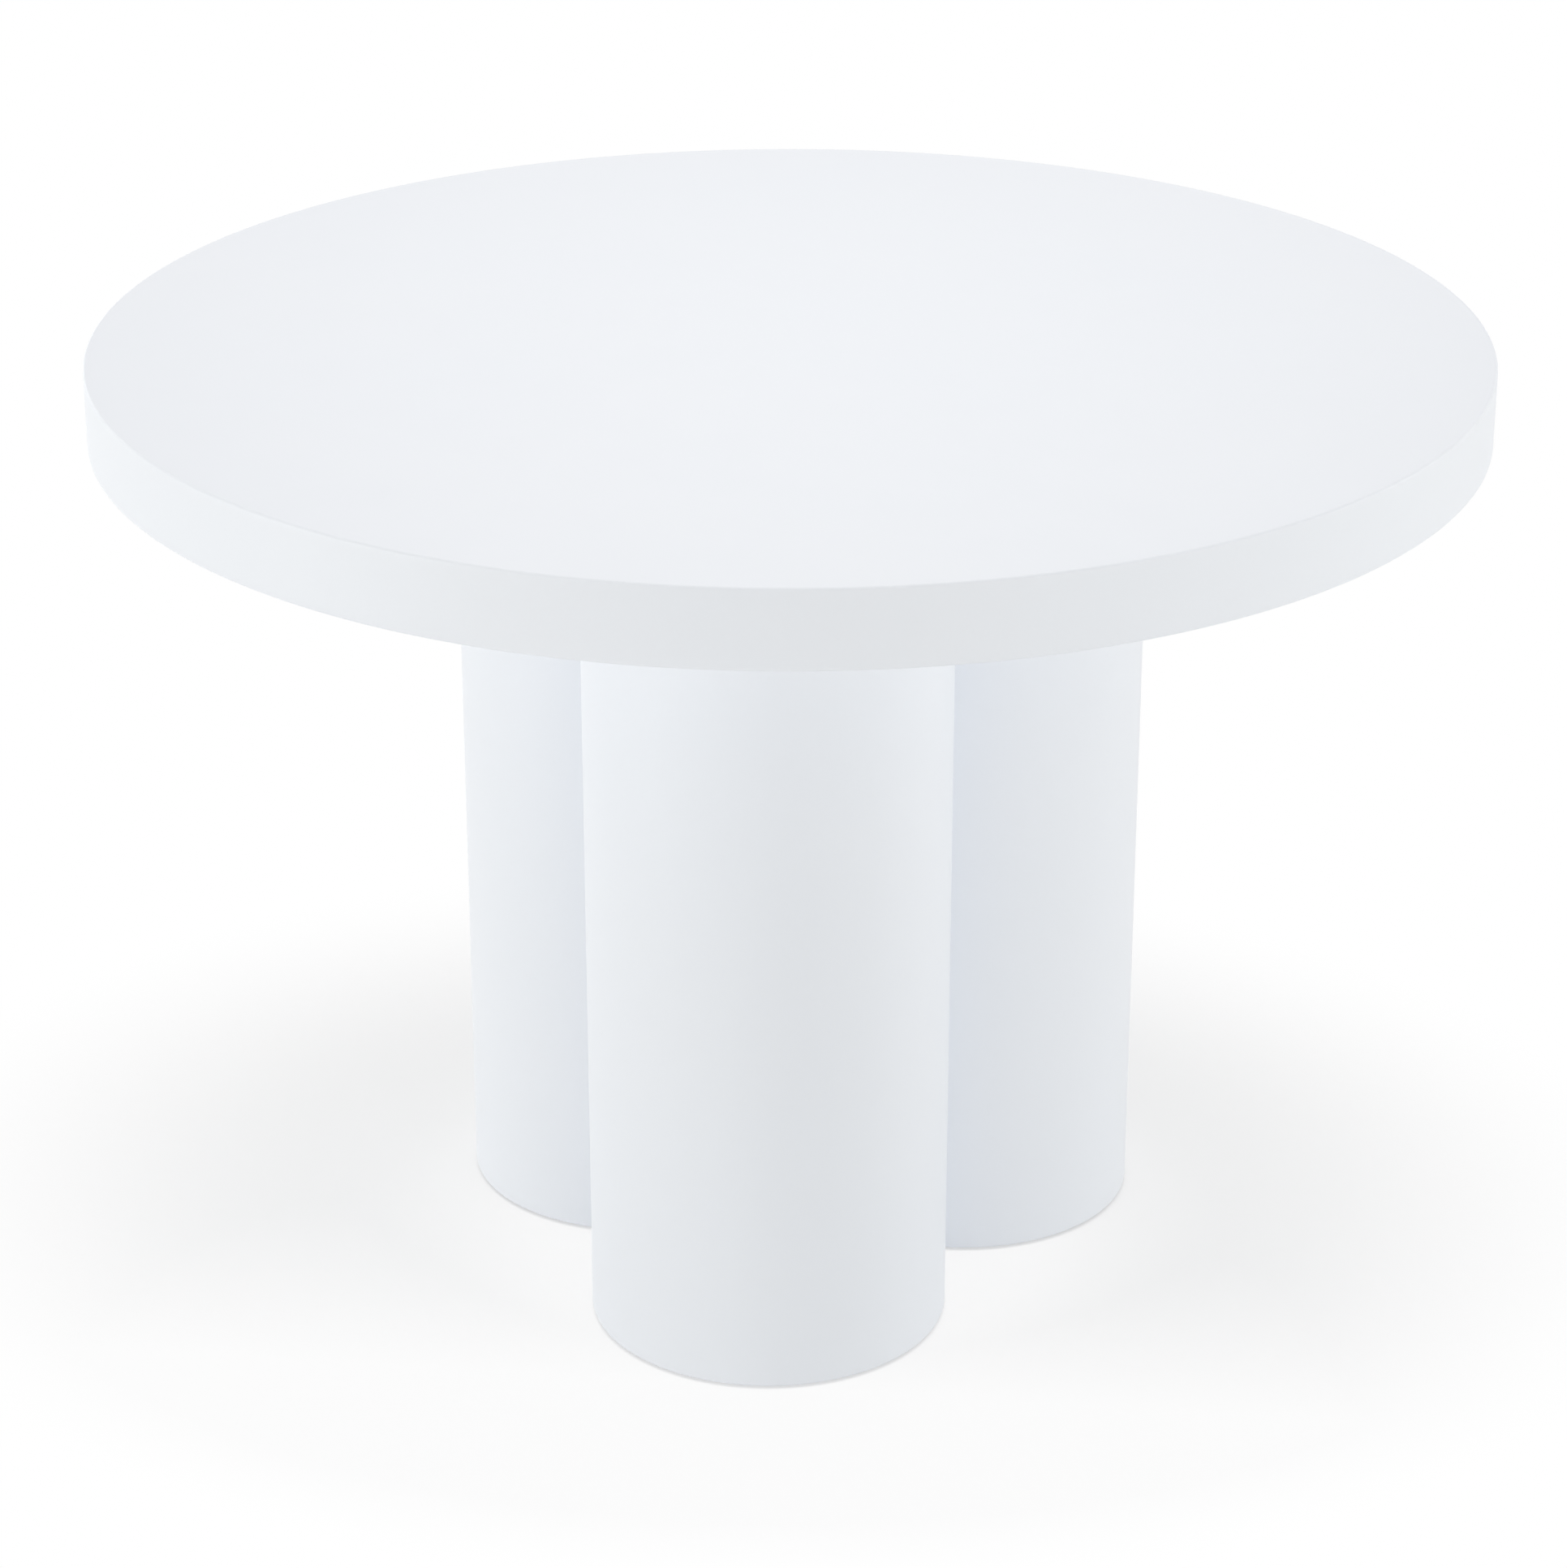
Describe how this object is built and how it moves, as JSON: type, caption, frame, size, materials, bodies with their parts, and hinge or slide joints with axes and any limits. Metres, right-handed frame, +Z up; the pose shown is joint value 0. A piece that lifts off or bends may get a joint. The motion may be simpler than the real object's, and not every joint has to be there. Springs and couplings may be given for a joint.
{
  "type": "round pedestal table",
  "caption": "Round dining table: a thick white lacquered top on a pedestal of fat round columns set in a trefoil, standing on screw levelling feet.",
  "frame": {"origin": "on the floor, under the middle of the top", "axes": "+Z up; -Y towards the column that stands forward of the other two; +X to the right seen from that side"},
  "size_m": [1.067, 1.067, 0.75],
  "materials": {
    "white_lacquer": "satin",
    "bare_fibreboard": "matte",
    "beech_dowel": "matte",
    "galvanised_steel": "satin",
    "grey_nylon": "matte"
  },
  "bodies": {
    "table": {"top_panel": "white_lacquer", "rim_hoop": "white_lacquer", "centre_block": "bare_fibreboard", "core_ribs": "bare_fibreboard", "underside_panel": "white_lacquer", "tie_inserts": "galvanised_steel", "column_shell_front": "white_lacquer", "column_shell_right": "white_lacquer", "column_shell_left": "white_lacquer", "top_plug_front": "bare_fibreboard", "top_plug_right": "bare_fibreboard", "top_plug_left": "bare_fibreboard", "foot_plug_front": "bare_fibreboard", "foot_plug_right": "bare_fibreboard", "foot_plug_left": "bare_fibreboard", "tie_rod_front": "galvanised_steel", "tie_rod_right": "galvanised_steel", "tie_rod_left": "galvanised_steel", "tie_washers": "galvanised_steel", "tie_nuts": "galvanised_steel", "locating_dowels": "beech_dowel", "joint_bolts": "galvanised_steel", "joint_nuts": "galvanised_steel", "leveller_inserts": "galvanised_steel"},
    "pad_front_1": {"leveller_pad_front_1": "grey_nylon"},
    "stud_front_1": {"leveller_stud_front_1": "galvanised_steel"},
    "pad_front_2": {"leveller_pad_front_2": "grey_nylon"},
    "stud_front_2": {"leveller_stud_front_2": "galvanised_steel"},
    "pad_front_3": {"leveller_pad_front_3": "grey_nylon"},
    "stud_front_3": {"leveller_stud_front_3": "galvanised_steel"},
    "pad_right_1": {"leveller_pad_right_1": "grey_nylon"},
    "stud_right_1": {"leveller_stud_right_1": "galvanised_steel"},
    "pad_right_2": {"leveller_pad_right_2": "grey_nylon"},
    "stud_right_2": {"leveller_stud_right_2": "galvanised_steel"},
    "pad_right_3": {"leveller_pad_right_3": "grey_nylon"},
    "stud_right_3": {"leveller_stud_right_3": "galvanised_steel"},
    "pad_left_1": {"leveller_pad_left_1": "grey_nylon"},
    "stud_left_1": {"leveller_stud_left_1": "galvanised_steel"},
    "pad_left_2": {"leveller_pad_left_2": "grey_nylon"},
    "stud_left_2": {"leveller_stud_left_2": "galvanised_steel"},
    "pad_left_3": {"leveller_pad_left_3": "grey_nylon"},
    "stud_left_3": {"leveller_stud_left_3": "galvanised_steel"}
  },
  "joints": [
    {"name": "pad_drop_front_1", "type": "slide", "parent": "table", "child": "pad_front_1", "axis": [0, 0, -1], "range_m": [0, 0.01]},
    {"name": "stud_turn_front_1", "type": "hinge", "parent": "pad_front_1", "child": "stud_front_1", "pos_m": [0, -0.24621, 0.017], "axis": [0, 0, -1], "range_deg": [0, 2880]},
    {"name": "pad_drop_front_2", "type": "slide", "parent": "table", "child": "pad_front_2", "axis": [0, 0, -1], "range_m": [0, 0.01]},
    {"name": "stud_turn_front_2", "type": "hinge", "parent": "pad_front_2", "child": "stud_front_2", "pos_m": [0.07967, -0.10821, 0.017], "axis": [0, 0, -1], "range_deg": [0, 2880]},
    {"name": "pad_drop_front_3", "type": "slide", "parent": "table", "child": "pad_front_3", "axis": [0, 0, -1], "range_m": [0, 0.01]},
    {"name": "stud_turn_front_3", "type": "hinge", "parent": "pad_front_3", "child": "stud_front_3", "pos_m": [-0.07967, -0.10821, 0.017], "axis": [0, 0, -1], "range_deg": [0, 2880]},
    {"name": "pad_drop_right_1", "type": "slide", "parent": "table", "child": "pad_right_1", "axis": [0, 0, -1], "range_m": [0, 0.01]},
    {"name": "stud_turn_right_1", "type": "hinge", "parent": "pad_right_1", "child": "stud_right_1", "pos_m": [0.21323, 0.12311, 0.017], "axis": [0, 0, -1], "range_deg": [0, 2880]},
    {"name": "pad_drop_right_2", "type": "slide", "parent": "table", "child": "pad_right_2", "axis": [0, 0, -1], "range_m": [0, 0.01]},
    {"name": "stud_turn_right_2", "type": "hinge", "parent": "pad_right_2", "child": "stud_right_2", "pos_m": [0.05388, 0.12311, 0.017], "axis": [0, 0, -1], "range_deg": [0, 2880]},
    {"name": "pad_drop_right_3", "type": "slide", "parent": "table", "child": "pad_right_3", "axis": [0, 0, -1], "range_m": [0, 0.01]},
    {"name": "stud_turn_right_3", "type": "hinge", "parent": "pad_right_3", "child": "stud_right_3", "pos_m": [0.13355, -0.01489, 0.017], "axis": [0, 0, -1], "range_deg": [0, 2880]},
    {"name": "pad_drop_left_1", "type": "slide", "parent": "table", "child": "pad_left_1", "axis": [0, 0, -1], "range_m": [0, 0.01]},
    {"name": "stud_turn_left_1", "type": "hinge", "parent": "pad_left_1", "child": "stud_left_1", "pos_m": [-0.21323, 0.12311, 0.017], "axis": [0, 0, -1], "range_deg": [0, 2880]},
    {"name": "pad_drop_left_2", "type": "slide", "parent": "table", "child": "pad_left_2", "axis": [0, 0, -1], "range_m": [0, 0.01]},
    {"name": "stud_turn_left_2", "type": "hinge", "parent": "pad_left_2", "child": "stud_left_2", "pos_m": [-0.13355, -0.01489, 0.017], "axis": [0, 0, -1], "range_deg": [0, 2880]},
    {"name": "pad_drop_left_3", "type": "slide", "parent": "table", "child": "pad_left_3", "axis": [0, 0, -1], "range_m": [0, 0.01]},
    {"name": "stud_turn_left_3", "type": "hinge", "parent": "pad_left_3", "child": "stud_left_3", "pos_m": [-0.05388, 0.12311, 0.017], "axis": [0, 0, -1], "range_deg": [0, 2880]}
  ],
  "couplings": [
    {"joint": "stud_turn_front_1", "follows": "pad_drop_front_1", "rad_per_m": 5026.5},
    {"joint": "stud_turn_front_2", "follows": "pad_drop_front_2", "rad_per_m": 5026.5},
    {"joint": "stud_turn_front_3", "follows": "pad_drop_front_3", "rad_per_m": 5026.5},
    {"joint": "stud_turn_right_1", "follows": "pad_drop_right_1", "rad_per_m": 5026.5},
    {"joint": "stud_turn_right_2", "follows": "pad_drop_right_2", "rad_per_m": 5026.5},
    {"joint": "stud_turn_right_3", "follows": "pad_drop_right_3", "rad_per_m": 5026.5},
    {"joint": "stud_turn_left_1", "follows": "pad_drop_left_1", "rad_per_m": 5026.5},
    {"joint": "stud_turn_left_2", "follows": "pad_drop_left_2", "rad_per_m": 5026.5},
    {"joint": "stud_turn_left_3", "follows": "pad_drop_left_3", "rad_per_m": 5026.5}
  ]
}
